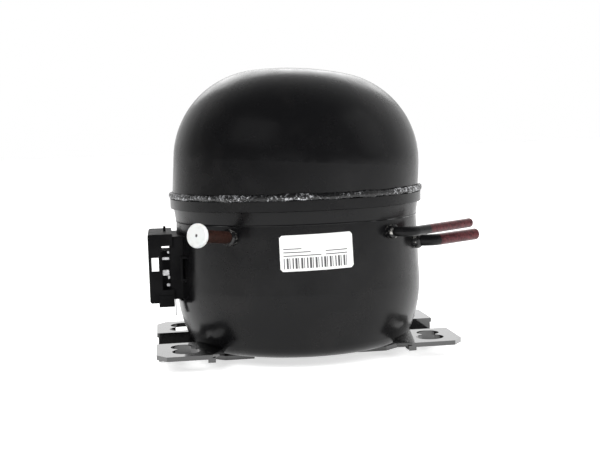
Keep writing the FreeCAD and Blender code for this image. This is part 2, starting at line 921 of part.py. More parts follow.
socket_depth = pin_out + size("socket_gap") - relay_in
sockets = [
    cylinder(f"pin_socket_{index}", size("pin_radius") + size("pin_gap"), socket_depth,
             (-pin_out - size("socket_gap"), pin_y, pin_z), X_AXIS)
    for index, (pin_y, pin_z) in enumerate(pin_spots)
]
relay_box = box("relay_box", (-relay_out, size("relay_low_y"), size("relay_bottom")),
                (-relay_in, size("relay_high_y"), size("relay_top")))
node(cut("start_relay", relay_box, sockets[0], sockets[1]))

overload_disc = cylinder("overload_disc", size("overload_radius"), relay_out - relay_in,
                         (-relay_out, size("overload_y"), size("overload_level")), X_AXIS)
node(cut("overload_protector", overload_disc, sockets[2]))

hook_out = -belly + size("hook_inset")
hook_in = -belly + size("hook_sink")
hook_low = size("hook_level") - size("hook_half")
hook_high = size("hook_level") + size("hook_half")
hook_near_y = size("hook_y") - size("hook_width")
hook_block = box("hook_block", (hook_out, hook_near_y, hook_low), (hook_in, size("hook_y"), hook_high))
hook_space = box("hook_space",
                 (hook_out + size("hook_wall"), hook_near_y - spare, hook_low + size("hook_wall")),
                 (hook_in + spare, size("hook_y") + spare, hook_high - size("hook_wall")))
node(cut("cover_hook", hook_block, hook_space, shell_blank))

tab_out = cover_in + fence_gap
tab_half = size("tab_width") / 2
node(box("ground_tab", (tab_out, size("tab_y") - tab_half, fence_bottom - size("tab_drop")),
         (tab_out + size("tab_wall"), size("tab_y") + tab_half, fence_bottom)))


# Motor

stator_half = size("stator_half")
corners_four = [(1, 1), (-1, 1), (-1, -1), (1, -1)]
bolt_place = size("bolt_place")
SLOTS = 24

sheet_box = box("stator_box", (-stator_half, -stator_half, stator_bottom), (stator_half, stator_half, stator_top))
sheet_round = cylinder("stator_round", size("stator_corner"), size("stator_stack"), (0, 0, stator_bottom))
stator_blank = common("stator_blank", sheet_box, sheet_round)
stator_bore = cylinder("stator_bore", size("rotor_radius") + size("air_gap"), size("stator_stack"),
                       (0, 0, stator_bottom))


def slot_bars(name, width, low, start, stop, height):
    """Straight bars round the bore, one for each slot."""
    bars = []
    for index in range(SLOTS):
        angle = 360.0 * index / SLOTS
        body = doc.addObject("Part::Box", f"{name}_{index}")
        bind(body, "Length", stop - start)
        bind(body, "Width", width)
        bind(body, "Height", height)
        reach = bearing(angle)
        across = bearing(angle + 90)
        at = (start * reach.x - width / 2 * across.x, start * reach.y - width / 2 * across.y, low)
        place(body, at)
        body.Placement = FreeCAD.Placement(body.Placement.Base, FreeCAD.Rotation(Z_AXIS, angle))
        bars.append(body)
    return bars


slot_gap = size("slot_gap")
slots = slot_bars("slot", size("slot_width"), stator_bottom, size("slot_start"), size("slot_out"),
                  size("stator_stack"))
bolt_holes = [
    cylinder(f"bolt_hole_{index}", size("bolt_radius") + size("bolt_gap"), size("stator_stack"),
             (bolt_place * way_x, bolt_place * way_y, stator_bottom))
    for index, (way_x, way_y) in enumerate(corners_four)
]
node(cut("stator_core", stator_blank, stator_bore, *slots, *bolt_holes))

coil_in = size("slot_start") + slot_gap
coil_out = size("winding_out")
coil_round = size("winding_round")
coil_height = size("winding_height")


def end_turns(name, low):
    return turned(name, [
        (coil_in, low),
        (coil_out, low),
        (coil_out, low + coil_height - coil_round),
        (coil_out - coil_round, low + coil_height),
        (coil_in + coil_round, low + coil_height),
        (coil_in, low + coil_height - coil_round),
    ])


upper_turns = end_turns("upper_turns", stator_top)
lower_turns = turned("lower_turns", [
    (coil_in, stator_bottom),
    (coil_in, stator_bottom - coil_height + coil_round),
    (coil_in + coil_round, stator_bottom - coil_height),
    (coil_out - coil_round, stator_bottom - coil_height),
    (coil_out, stator_bottom - coil_height + coil_round),
    (coil_out, stator_bottom),
])
coil_bars = slot_bars("coil_bar", size("slot_width") - slot_gap * 2, stator_bottom, coil_in + slot_gap,
                      size("slot_out") - slot_gap, size("stator_stack"))
node(fuse("stator_windings", upper_turns, lower_turns, *coil_bars))

shaft_radius = size("shaft_radius")
rotor_outer = cylinder("rotor_outer", size("rotor_radius"), size("stator_stack"), (0, 0, stator_bottom))
rotor_bore = cylinder("rotor_bore", shaft_radius, size("stator_stack"), (0, 0, stator_bottom))
node(cut("rotor_core", rotor_outer, rotor_bore))
rings = []
for tag, low in (("lower", stator_bottom - size("cage_height")), ("upper", stator_top)):
    outer = cylinder(f"cage_{tag}_outer", size("cage_out"), size("cage_height"), (0, 0, low))
    inner = cylinder(f"cage_{tag}_inner", size("cage_in"), size("cage_height"), (0, 0, low))
    rings.append(cut(f"cage_{tag}", outer, inner))
node(group("rotor_cage", rings))


# Cylinder block

cylinder_radius = size("piston_radius") + size("running_gap")
barrel_radius = cylinder_radius + size("cylinder_wall")
arm_half = bolt_place + size("arm_margin")

plate_box = box("plate_box", (-arm_half, -arm_half, plate_bottom), (arm_half, arm_half, plate_top))
plate_round = cylinder("plate_round", size("stator_corner"), size("block_plate"), (0, 0, plate_bottom))
plate_blank = common("plate_blank", plate_box, plate_round)
notches = []
for index, angle in enumerate((0, 90, 270)):
    way = bearing(angle)
    notches.append(cylinder(f"plate_notch_{index}", size("notch_radius"), size("block_plate"),
                            (size("notch_place") * way.x, size("notch_place") * way.y, plate_bottom)))
hub = cylinder("block_hub", size("hub_radius"), plate_top - hub_bottom, (0, 0, hub_bottom))
legs = [
    box(f"block_leg_{index}",
        (bolt_place * way_x - size("leg_half"), bolt_place * way_y - size("leg_half"), stator_top),
        (bolt_place * way_x + size("leg_half"), bolt_place * way_y + size("leg_half"), plate_bottom + spare))
    for index, (way_x, way_y) in enumerate(corners_four)
]
barrel = cylinder("block_barrel", barrel_radius, cylinder_out - size("cylinder_in"),
                  (-cylinder_out, 0, yoke_level), X_AXIS)
pedestal_half = barrel_radius - size("pedestal_inset")
pedestal = box("block_pedestal", (-cylinder_out, -pedestal_half, plate_bottom),
               (-size("cylinder_in"), pedestal_half, yoke_level))
leg_holes = [
    cylinder(f"leg_hole_{index}", size("bolt_radius"), size("bolt_grip"),
             (bolt_place * way_x, bolt_place * way_y, stator_top))
    for index, (way_x, way_y) in enumerate(corners_four)
]
shaft_bore = cylinder("shaft_bore", shaft_radius + size("running_gap"), plate_top - hub_bottom,
                      (0, 0, hub_bottom))
piston_bore = cylinder("cylinder_bore", cylinder_radius, cylinder_out - size("cylinder_in"),
                       (-cylinder_out, 0, yoke_level), X_AXIS)
plate_cutaway = cut("plate_cutaway", plate_blank, *notches)
block_solid = fuse("block_solid", plate_cutaway, hub, barrel, pedestal, *legs)
head_bolt_spots = [
    (size("head_bolt_place") * way_y, yoke_level + size("head_bolt_place") * way_z)
    for way_y, way_z in corners_four
]
thread_holes = [
    cylinder(f"thread_hole_{index}", size("head_bolt_radius"), size("thread_depth"),
             (-cylinder_out, bolt_y, bolt_z), X_AXIS)
    for index, (bolt_y, bolt_z) in enumerate(head_bolt_spots)
]
node(cut("cylinder_block", block_solid, shaft_bore, piston_bore, *leg_holes, *thread_holes))

bolts = []
for index, (way_x, way_y) in enumerate(corners_four):
    bolts.append(cylinder(f"stator_bolt_{index}", size("bolt_radius"), size("stator_stack") + size("bolt_grip"),
                          (bolt_place * way_x, bolt_place * way_y, stator_bottom)))
node(group("stator_bolts", bolts))


# Crankshaft

throw = size("throw")
washer_top = plate_top + size("washer")
web_bottom = washer_top + size("running_gap")
web_top = web_bottom + size("web")
journal = cylinder("shaft_journal", shaft_radius, web_bottom - size("shaft_bottom"),
                   (0, 0, size("shaft_bottom")))
web = cylinder("shaft_web", size("web_radius"), size("web"), (-throw / 2, 0, web_bottom))
crank_pin_top = yoke_level + size("block_journal") + size("pin_proud")
crank_pin = cylinder("crank_pin", size("pin_journal"), crank_pin_top - web_top, (-throw, 0, web_top))
shaft_solid = fuse("shaft_solid", journal, web, crank_pin)
pickup_socket = cylinder("pickup_socket", size("pickup_radius"), size("gallery_bottom") - size("shaft_bottom"),
                         (0, 0, size("shaft_bottom")))
gallery = cylinder("oil_gallery", size("gallery_radius"), plate_bottom - size("gallery_bottom"),
                   (-throw / 2, 0, size("gallery_bottom")))
node(cut("crankshaft", shaft_solid, pickup_socket, gallery))

counter_disc = cylinder("counter_disc", size("counter_radius"), size("web"), (0, 0, web_bottom))
counter_keep = box("counter_keep", (size("counter_back"), -size("counter_radius"), web_bottom),
                   (size("counter_radius"), size("counter_radius"), web_top))
counter_half = common("counter_half", counter_disc, counter_keep)
node(cut("counterweight", counter_half, web))

washer_outer = cylinder("washer_outer", size("washer_radius"), size("washer"), (0, 0, plate_top))
washer_inner = cylinder("washer_inner", shaft_radius + size("running_gap"), size("washer"), (0, 0, plate_top))
node(cut("thrust_washer", washer_outer, washer_inner))

metering = cylinder("metering_outer", size("gallery_radius") - size("running_gap"), size("metering_length"),
                    (-throw / 2, 0, size("gallery_bottom") + size("seat_gap")))
metering_hole = cylinder("metering_hole", size("metering_hole"), size("metering_length"),
                         (-throw / 2, 0, size("gallery_bottom") + size("seat_gap")))
node(cut("oil_metering_plug", metering, metering_hole))

pickup_bottom = size("shaft_bottom") - size("pickup_length")
pickup_top = size("gallery_bottom") - size("pickup_wall")
node(turned("oil_pickup", [
    (size("pickup_tip"), pickup_bottom),
    (size("pickup_radius"), size("shaft_bottom")),
    (size("pickup_radius"), pickup_top),
    (size("pickup_radius") - size("pickup_wall"), pickup_top),
    (size("pickup_radius") - size("pickup_wall"), size("shaft_bottom")),
    (size("pickup_tip") - size("pickup_wall"), pickup_bottom),
]))


# Slide block, yoke and piston

block_body = cylinder("slide_body", size("block_journal"), size("block_half") * 2,
                      (-throw, -size("block_half"), yoke_level), Y_AXIS)
block_hole = cylinder("slide_hole", size("pin_journal") + size("running_gap"),
                      (size("block_journal") + spare) * 2,
                      (-throw, 0, yoke_level - size("block_journal") - spare))
node(cut("slide_block", block_body, block_hole))

yoke_bore = size("block_journal") + size("running_gap")
yoke_radius = yoke_bore + size("yoke_wall")
crown = cylinder_out - size("top_clearance")
piston_tail = crown - size("piston_length")
yoke_outer = cylinder("yoke_outer", yoke_radius, size("yoke_half") * 2,
                      (-throw, -size("yoke_half"), yoke_level), Y_AXIS)
yoke_inner = cylinder("yoke_inner", yoke_bore, size("yoke_half") * 2,
                      (-throw, -size("yoke_half"), yoke_level), Y_AXIS)
slot_half = throw + size("pin_journal") + size("web_clear")
yoke_slot = box("yoke_slot",
                (-throw - size("pin_journal") - spare, -slot_half, yoke_level - yoke_radius - spare),
                (-throw + size("pin_journal") + spare, slot_half, yoke_level + yoke_radius + spare))
neck_start = piston_tail + size("neck_grip")
neck = cylinder("piston_neck", size("piston_neck"), neck_start - throw, (-neck_start, 0, yoke_level), X_AXIS)
yoke_neck = fuse("yoke_neck_solid", yoke_outer, neck)
node(cut("yoke_tube", yoke_neck, yoke_inner, yoke_slot))

piston_body = cylinder("piston_body", size("piston_radius"), size("piston_length"),
                       (-crown, 0, yoke_level), X_AXIS)
piston_hollow = cylinder("piston_hollow", size("piston_bore"),
                         size("piston_length") - size("piston_floor") - size("neck_grip"),
                         (-crown + size("piston_floor"), 0, yoke_level), X_AXIS)
piston_seat = cylinder("piston_seat", size("piston_neck"), size("piston_length"),
                       (-neck_start, 0, yoke_level), X_AXIS)
node(cut("piston", piston_body, piston_hollow, piston_seat))


# Valves and head

def square_plate(name, start, thick, holes):
    """A square plate against the cylinder's end, with its bolt holes and its own holes."""
    half = size("head_half")
    blank = box(name + "_blank", (-start - thick, -half, yoke_level - half), (-start, half, yoke_level + half))
    drills = [
        cylinder(f"{name}_bolt_{index}", size("head_bolt_radius"), thick,
                 (-start - thick, bolt_y, bolt_z), X_AXIS)
        for index, (bolt_y, bolt_z) in enumerate(head_bolt_spots)
    ]
    return node(cut(name, blank, *drills, *holes))


def head_hole(name, radius, start, thick, across=0.0, up=0.0):
    return cylinder(name, radius, thick, (-start - thick, across, yoke_level + up), X_AXIS)


def reed(name, face, across):
    """A spring leaf on one side of a port, with its root at the top."""
    half = size("reed_width") / 2
    port_level = yoke_level - size("port_drop")
    leaf = box(name + "_leaf", (face, across - half, port_level),
               (face + size("reed_thick"), across + half, port_level + size("reed_length") - half))
    tip = cylinder(name + "_tip", half, size("reed_thick"), (face, across, port_level), X_AXIS)
    return node(fuse(name, leaf, tip))


gasket = size("gasket")
gasket_start = cylinder_out
plate_start = gasket_start + gasket
plate_end = plate_start + size("valve_plate")
head_start = plate_end + gasket
head_end = head_start + size("head_thick")
port = size("port_place")
port_radius = size("port_radius")

square_plate("cylinder_gasket", gasket_start, gasket,
             [head_hole("gasket_bore", cylinder_radius, gasket_start, gasket)])
square_plate("valve_plate", plate_start, size("valve_plate"), [
    head_hole("suction_port", port_radius, plate_start, size("valve_plate"), port, -size("port_drop")),
    head_hole("discharge_port", port_radius, plate_start, size("valve_plate"), -port, -size("port_drop")),
])
square_plate("head_gasket", plate_end, gasket, [
    head_hole("head_gasket_bore", cylinder_radius, plate_end, gasket),
])
pocket_depth = size("head_thick") - size("head_wall")
head_pocket = head_hole("head_pocket", cylinder_radius, head_start, pocket_depth)
head_rib = box("head_rib", (-head_start - pocket_depth, -size("rib_half"), yoke_level - cylinder_radius - spare),
               (-head_start, size("rib_half"), yoke_level + cylinder_radius + spare))
square_plate("cylinder_head", head_start, size("head_thick"), [cut("head_chambers", head_pocket, head_rib)])

reed("suction_reed", -plate_start + size("reed_gap"), port)
reed("discharge_reed", -plate_end - size("reed_gap") - size("reed_thick"), -port)

head_bolts = []
for index, (bolt_y, bolt_z) in enumerate(head_bolt_spots):
    shank = cylinder(f"head_shank_{index}", size("head_bolt_radius"),
                     head_end - cylinder_out + size("shank_grip"), (-head_end, bolt_y, bolt_z), X_AXIS)
    cap = doc.addObject("Part::Prism", f"head_cap_{index}")
    cap.Polygon = 6
    bind(cap, "Circumradius", size("cap_radius"))
    bind(cap, "Height", size("cap_height"))
    place(cap, (-head_end - size("cap_height"), bolt_y, bolt_z), X_AXIS)
    head_bolts.append(fuse(f"head_bolt_{index}", shank, cap))
node(group("head_bolts", head_bolts))


# Mufflers and the loop of discharge tube

muffler_outer = box("muffler_outer", (size("muffler_low_x"), size("muffler_low_y"), plate_top),
                    (size("muffler_high_x"), size("muffler_high_y"), plate_top + size("muffler_height")))
doc.recompute()
muffler = doc.addObject("Part::Chamfer", "suction_muffler")
muffler.Base = muffler_outer
muffler.Edges = [
    (index, SIZES["muffler_chamfer"], SIZES["muffler_chamfer"])
    for index in range(1, len(muffler_outer.Shape.Edges) + 1)
]
node(muffler)
can_top = plate_top + size("can_height")
node(turned("discharge_muffler", [
    (ZERO, plate_top),
    (size("can_radius"), plate_top),
    (size("can_radius"), can_top - size("can_chamfer")),
    (size("can_radius") - size("can_chamfer"), can_top),
    (ZERO, can_top),
], (size("can_x"), size("can_y"), 0)))

can_mouth = FreeCAD.Vector(SIZES["can_x"], SIZES["can_y"], can_top.number)
loop_top = can_top.number + SIZES["loop_rise"]
outlet = bearing(SIZES["discharge_angle"])
outlet_level = FreeCAD.Vector(0, 0, SIZES["discharge_level"])
inner_end = belly.number - SIZES["collar_in"]
tube_start = outlet * inner_end + outlet_level
loop_drop = outlet * (inner_end - SIZES["loop_inset"])
bent_tube("discharge_loop", [
    can_mouth,
    FreeCAD.Vector(can_mouth.x, can_mouth.y, loop_top),
    FreeCAD.Vector(0, -SIZES["loop_side"], loop_top),
    FreeCAD.Vector(loop_drop.x, loop_drop.y, can_mouth.z),
    loop_drop + outlet_level,
    tube_start,
], SIZES["loop_bend"], SIZES["loop_radius"], 0)

lead_level = stator_top.number + SIZES["winding_height"] / 2
lead_x = -(terminal_in - size("terminal_floor") + connector_in).number / 2
bent_tube("lead_bundle", [
    FreeCAD.Vector(lead_x, 0, SIZES["terminal_level"] + SIZES["connector_half"]),
    FreeCAD.Vector(lead_x, 0, lead_level),
    FreeCAD.Vector(-SIZES["winding_out"] - SIZES["seat_gap"], 0, lead_level),
], SIZES["lead_bend"], SIZES["lead_radius"], 0)


# Suspension

snubber_seat = size("snubber_seat")
lower = []
upper = []
springs = []
spring_low = snubber_seat + size("seat_gap")
spring_length = stator_bottom - size("upper_seat") - size("seat_gap") - spring_low
for index, (way_x, way_y) in enumerate(corners_four):
    at_x = bolt_place * way_x
    at_y = bolt_place * way_y
    seat = cylinder(f"lower_seat_{index}", size("snubber_radius"), snubber_seat + size("snubber_sink"),
                    (at_x, at_y, -size("snubber_sink")))
    stud = cylinder(f"lower_stud_{index}", size("snubber_pin"), size("snubber_pin_height"),
                    (at_x, at_y, snubber_seat))
    lower.append(common(f"lower_snubber_{index}", fuse(f"lower_snubber_solid_{index}", seat, stud), shell_inside))
    upper_disc = cylinder(f"upper_disc_{index}", size("snubber_radius"), size("upper_seat"),
                          (at_x, at_y, stator_bottom - size("upper_seat")))
    upper_stud = cylinder(f"upper_stud_{index}", size("snubber_pin"), size("snubber_pin_height"),
                          (at_x, at_y, stator_bottom - size("upper_seat") - size("snubber_pin_height")))
    upper.append(fuse(f"upper_snubber_{index}", upper_disc, upper_stud))
    sleeve = cylinder(f"spring_outer_{index}", size("spring_radius") + size("spring_wire"), spring_length,
                      (at_x, at_y, spring_low))
    core = cylinder(f"spring_inner_{index}", size("spring_radius") - size("spring_wire"), spring_length,
                    (at_x, at_y, spring_low))
    springs.append(cut(f"spring_{index}", sleeve, core))
node(group("lower_snubbers", lower))
node(group("upper_snubbers", upper))
node(group("suspension_springs", springs))


# Checks and files

doc.recompute()
faults = []
for thing in doc.Objects:
    if "Invalid" in thing.State or "Error" in thing.State:
        faults.append(f"{thing.Name}: {thing.State}")
total_solids = 0
for thing in NODES:
    shape = thing.Shape
    if shape.isNull() or not shape.isValid() or not shape.Solids:
        faults.append(f"{thing.Label}: bad shape")
        continue
    total_solids += len(shape.Solids)
if faults:
    raise RuntimeError("; ".join(faults))
for thing in NODES:
    thing.Shape.exportStep(f"parts/{thing.Label}.step")
print(len(NODES), "nodes,", total_solids, "solids")
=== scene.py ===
import json
import math

import bmesh
import bpy
from mathutils import Matrix, Vector, noise
from mathutils.bvhtree import BVHTree

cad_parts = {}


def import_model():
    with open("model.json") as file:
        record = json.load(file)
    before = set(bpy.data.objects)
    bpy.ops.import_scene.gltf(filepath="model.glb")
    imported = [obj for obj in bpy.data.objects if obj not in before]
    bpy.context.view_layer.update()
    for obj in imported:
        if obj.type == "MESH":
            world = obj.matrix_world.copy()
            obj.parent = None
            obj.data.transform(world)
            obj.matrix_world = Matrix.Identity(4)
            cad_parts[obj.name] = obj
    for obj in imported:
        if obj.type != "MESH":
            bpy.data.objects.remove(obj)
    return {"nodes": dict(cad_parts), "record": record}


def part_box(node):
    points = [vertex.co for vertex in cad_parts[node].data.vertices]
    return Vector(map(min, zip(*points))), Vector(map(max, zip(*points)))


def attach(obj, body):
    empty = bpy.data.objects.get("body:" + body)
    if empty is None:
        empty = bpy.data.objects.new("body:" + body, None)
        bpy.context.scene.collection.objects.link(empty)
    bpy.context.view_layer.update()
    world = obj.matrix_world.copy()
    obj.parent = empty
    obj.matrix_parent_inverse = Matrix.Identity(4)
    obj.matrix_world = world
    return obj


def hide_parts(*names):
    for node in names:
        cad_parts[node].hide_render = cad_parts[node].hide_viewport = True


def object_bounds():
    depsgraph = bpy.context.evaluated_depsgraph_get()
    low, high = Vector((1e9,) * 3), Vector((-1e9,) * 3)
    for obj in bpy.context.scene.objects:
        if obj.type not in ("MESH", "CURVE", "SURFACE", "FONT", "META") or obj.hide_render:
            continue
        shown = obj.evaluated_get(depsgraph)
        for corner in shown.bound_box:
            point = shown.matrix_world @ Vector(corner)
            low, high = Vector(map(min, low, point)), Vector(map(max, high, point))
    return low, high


MM = 0.001

# Camera, as fitted to the outline and the feet

CAMERA_PLACE = Vector((-93.27, -744.25, 141.49)) * MM
CAMERA_YAW = -7.34
CAMERA_PITCH = 4.76
CAMERA_ROLL = -1.96
CAMERA_LENS = 63.36
SENSOR_WIDTH = 36.0

# Stage

FLOOR_HALF = 12.0
FLOOR_SHADE = (0.80, 0.80, 0.80)
FLOOR_GLOW = 0.66
WORLD_SEEN = 1.0
WORLD_BEHIND = 1.0
WORLD_IN_FRONT = 0.10
BRIGHT_SIDE = (0.38, 0.91, -0.15)
DARK_FROM = -0.4
BRIGHT_FROM = 0.92
LIGHT_AIM = Vector((0, 0, 0.09))
CLIP_NEAR = 0.05
CLIP_FAR = 20

# Label, on the front of the lower shell. A rule of its print is given by its start, end and level

LABEL_ANGLE = -88.6
LABEL_LEVEL = 68.5 * MM
LABEL_WIDTH = 49.5 * MM
LABEL_HEIGHT = 23.0 * MM
LABEL_CORNER = 1.6 * MM
LABEL_TILT = 1.0
LABEL_LIFT = 0.12 * MM
LABEL_MARGIN = 2.4 * MM
BAR_FOOT = 1.68 * MM
PATCH_COLUMN = 1.0 * MM
PATCH_ROW = 1.5 * MM
INK_LIFT = 0.17 * MM
BAR_COUNT = 23
BAR_PITCH = 1.9 * MM
BAR_HEIGHT = 6.8 * MM
BAR_WIDTHS = (0.6 * MM, 1.3 * MM, 0.5 * MM, 0.9 * MM, 1.4 * MM)
RULE_HEIGHT = 0.6 * MM
RULES = (
    (0.0, 25.0 * MM, -1.6 * MM),
    (28.0 * MM, 43.0 * MM, -1.6 * MM),
    (0.0, 18.0 * MM, 0.6 * MM),
    (28.0 * MM, 43.0 * MM, 0.6 * MM),
    (0.0, 12.0 * MM, 2.8 * MM),
)

# Bright metal on the relay, seen through the open side of its cover: place along X, level, width, height

RELAY_METAL = (
    (-93.4 * MM, 61.8 * MM, 4.8 * MM, 1.8 * MM),
    (-93.6 * MM, 52.0 * MM, 4.4 * MM, 3.8 * MM),
    (-91.5 * MM, 66.0 * MM, 1.2 * MM, 1.8 * MM),
    (-91.6 * MM, 48.8 * MM, 1.4 * MM, 2.2 * MM),
    (-92.2 * MM, 43.6 * MM, 2.2 * MM, 2.0 * MM),
)
RELAY_METAL_DEPTH = 1.1 * MM
RELAY_METAL_SINK = 0.3 * MM
RELAY_METAL_EDGE = 0.25 * MM

# Weld bead

WELD_STEPS = 900
WELD_RINGS = 10
WELD_BULGE = 1.1 * MM
WELD_RIPPLE = 0.55 * MM
WELD_SHARE = 0.5
WELD_FLATNESS = 0.95
WELD_SAG = 0.25
BULGE_SCALE = 90
RIPPLE_SCALE = 900
RIPPLE_STEP = 0.002
SAG_SCALE = 45
SAG_PLACE = Vector((0, 0, 3))

# Bare copper ends of the two line stubs, and the ragged border of the paint

BARE_LENGTH = {"suction_tube": 42.5 * MM, "discharge_tube": 50.6 * MM}
BORDER_RAGGED = 4.0 * MM
BORDER_START = 2.0 * MM
BORDER_END = 2.6 * MM

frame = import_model()
cad_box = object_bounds()
nodes = frame["nodes"]
record = frame["record"]
mounts = {mount["name"]: mount for mount in record["mounts"]}


# Shader helpers

class Finish:
    """A material with its shader and the few node patterns that the finishes share."""

    def __init__(self, name, colour, roughness, metallic=0.0):
        self.material = bpy.data.materials.new(name)
        self.material.use_nodes = True
        self.tree = self.material.node_tree
        self.shader = self.tree.nodes["Principled BSDF"]
        self.set("Base Color", (*colour, 1.0))
        self.set("Roughness", roughness)
        self.set("Metallic", metallic)
        self.place = self.tree.nodes.new("ShaderNodeTexCoord").outputs["Object"]

    def set(self, socket, value):
        self.shader.inputs[socket].default_value = value

    def link(self, output, socket):
        self.tree.links.new(output, socket)

    def feed(self, output, socket):
        self.link(output, self.shader.inputs[socket])

    def math(self, kind, first, second):
        node = self.tree.nodes.new("ShaderNodeMath")
        node.operation = kind
        for socket, value in zip(node.inputs, (first, second)):
            if isinstance(value, (int, float)):
                socket.default_value = value
            else:
                self.link(value, socket)
        return node.outputs["Value"]

    def noise(self, scale, detail=3.0, rough=0.55, stretch=(1, 1, 1)):
        place = self.place
        if tuple(stretch) != (1, 1, 1):
            mapping = self.tree.nodes.new("ShaderNodeMapping")
            mapping.inputs["Scale"].default_value = stretch
            self.link(place, mapping.inputs["Vector"])
            place = mapping.outputs["Vector"]
        node = self.tree.nodes.new("ShaderNodeTexNoise")
        node.inputs["Scale"].default_value = scale
        node.inputs["Detail"].default_value = detail
        node.inputs["Roughness"].default_value = rough
        self.link(place, node.inputs["Vector"])
        return node.outputs["Fac"]

    def waves(self, scale, direction):
        node = self.tree.nodes.new("ShaderNodeTexWave")
        node.bands_direction = direction
        node.inputs["Scale"].default_value = scale
        self.link(self.place, node.inputs["Vector"])
        return node.outputs["Fac"]

    def spread(self, value, low, high, to_low=0.0, to_high=1.0):
        node = self.tree.nodes.new("ShaderNodeMapRange")
        node.clamp = True
        self.link(value, node.inputs["Value"])
        node.inputs["From Min"].default_value = low
        node.inputs["From Max"].default_value = high
        node.inputs["To Min"].default_value = to_low
        node.inputs["To Max"].default_value = to_high
        return node.outputs["Result"]

    def mix(self, share, first, second):
        node = self.tree.nodes.new("ShaderNodeMix")
        node.data_type = "RGBA"
        self.link(share, node.inputs["Factor"])
        for name, value in (("A", first), ("B", second)):
            socket = next(s for s in node.inputs if s.name == name and s.type == "RGBA")
            if isinstance(value, tuple):
                socket.default_value = (*value, 1.0)
            else:
                self.link(value, socket)
        return next(s for s in node.outputs if s.type == "RGBA")

    def blend(self, value, low, high, first, second):
        """Colours the surface from the first colour to the second as a value goes from low to high."""
        self.feed(self.mix(self.spread(value, low, high), first, second), "Base Color")

    def vary_sheen(self, value, low, high, smooth, rough):
        """Makes the surface rougher as a value goes from low to high."""
        self.feed(self.spread(value, low, high, smooth, rough), "Roughness")

    def bump(self, height, distance, strength):
        node = self.tree.nodes.new("ShaderNodeBump")
        node.inputs["Distance"].default_value = distance
        node.inputs["Strength"].default_value = strength
        self.link(height, node.inputs["Height"])
        self.feed(node.outputs["Normal"], "Normal")

    def position_along(self, point, way):
        """How far each surface point lies beyond a point along a direction, in metres."""
        shift = self.tree.nodes.new("ShaderNodeVectorMath")
        shift.operation = "SUBTRACT"
        self.link(self.place, shift.inputs[0])
        shift.inputs[1].default_value = point
        reach = self.tree.nodes.new("ShaderNodeVectorMath")
        reach.operation = "DOT_PRODUCT"
        self.link(shift.outputs["Vector"], reach.inputs[0])
        reach.inputs[1].default_value = way
        return reach.outputs["Value"]

    def distance_from(self, point, way):
        """How far each surface point lies from a line, in metres."""
        shift = self.tree.nodes.new("ShaderNodeVectorMath")
        shift.operation = "SUBTRACT"
        self.link(self.place, shift.inputs[0])
        shift.inputs[1].default_value = point
        across = self.tree.nodes.new("ShaderNodeVectorMath")
        across.operation = "CROSS_PRODUCT"
        self.link(shift.outputs["Vector"], across.inputs[0])
        across.inputs[1].default_value = way
        length = self.tree.nodes.new("ShaderNodeVectorMath")
        length.operation = "LENGTH"
        self.link(across.outputs["Vector"], length.inputs[0])
        return length.outputs["Value"]


BLACK = (0.004, 0.004, 0.0044)
DUSTY_BLACK = (0.011, 0.0105, 0.0105)
COPPER = (0.13, 0.030, 0.034)
DARK_COPPER = (0.030, 0.008, 0.010)
BROWN_COPPER = (0.060, 0.027, 0.021)
DARK_BROWN_COPPER = (0.026, 0.013, 0.010)
FRESH_COPPER = (0.45, 0.15, 0.09)
DULL_COPPER = (0.26, 0.08, 0.05)
# Painted shade in the plug's dimple: its grey, and the distances from the axis where it starts and ends
# fading
PLUG_DIMPLE_SHADE = (0.10, 0.10, 0.10)
DIMPLE_SHADE_RADIUS = 0.7 * MM
DIMPLE_SHADE_EDGE = 1.05 * MM
PAINT_SHEEN = 0.2
PLASTIC_SHEEN = 0.03
STEEL = (0.55, 0.55, 0.56)
SMOOTHEST = 0.8
ROUGHEST = 1.2


def shell_paint():
    """Sprayed black enamel: glossy, with a faint orange peel and soft smears of dust."""
    finish = Finish("shell_paint", BLACK, 0.2)
    finish.set("Specular IOR Level", PAINT_SHEEN)
    smears = finish.noise(22.0, 4.0)
    finish.blend(smears, 0.5, 0.8, BLACK, DUSTY_BLACK)
    finish.vary_sheen(finish.noise(48.0, 5.0), 0.3, 0.75, 0.16, 0.34)
    finish.bump(finish.noise(420.0, 2.0), 0.05 * MM, 0.35)
    return finish.material


def foot_paint():
    """The same enamel over stamped plate, wetter and glossier, so that the flat tops mirror the room."""
    finish = Finish("foot_paint", BLACK, 0.2)
    finish.set("Specular IOR Level", 0.9)
    finish.set("Coat Weight", 1.0)
    finish.set("Coat Roughness", 0.06)
    finish.blend(finish.noise(90.0, 5.0), 0.5, 0.75, BLACK, DUSTY_BLACK)
    finish.vary_sheen(finish.noise(150.0, 4.0), 0.3, 0.75, 0.05, 0.16)
    finish.bump(finish.noise(200.0, 3.0), 0.05 * MM, 0.3)
    return finish.material


def weld_metal():
    """A weld bead under thin paint, with bright spatter where the paint has not taken."""
    finish = Finish("weld_metal", BLACK, 0.3)
    specks = finish.noise(620.0, 4.0, 0.7)
    patches = finish.noise(70.0, 2.0)
    bright = finish.math("MULTIPLY", finish.spread(specks, 0.53, 0.6), finish.spread(patches, 0.38, 0.6))
    finish.feed(finish.mix(bright, BLACK, (0.78, 0.79, 0.82)), "Base Color")
    finish.feed(bright, "Metallic")
    finish.vary_sheen(finish.noise(300.0), 0.3, 0.7, 0.18, 0.42)
    finish.bump(specks, 0.35 * MM, 0.9)
    return finish.material


def bare_copper_colour(finish, bright, dark):
    """Copper that has been heated: darker blotches, broken up by fine grain."""
    blotches = finish.noise(420.0, 6.0, 0.7)
    return finish.mix(finish.spread(blotches, 0.38, 0.62), bright, dark)


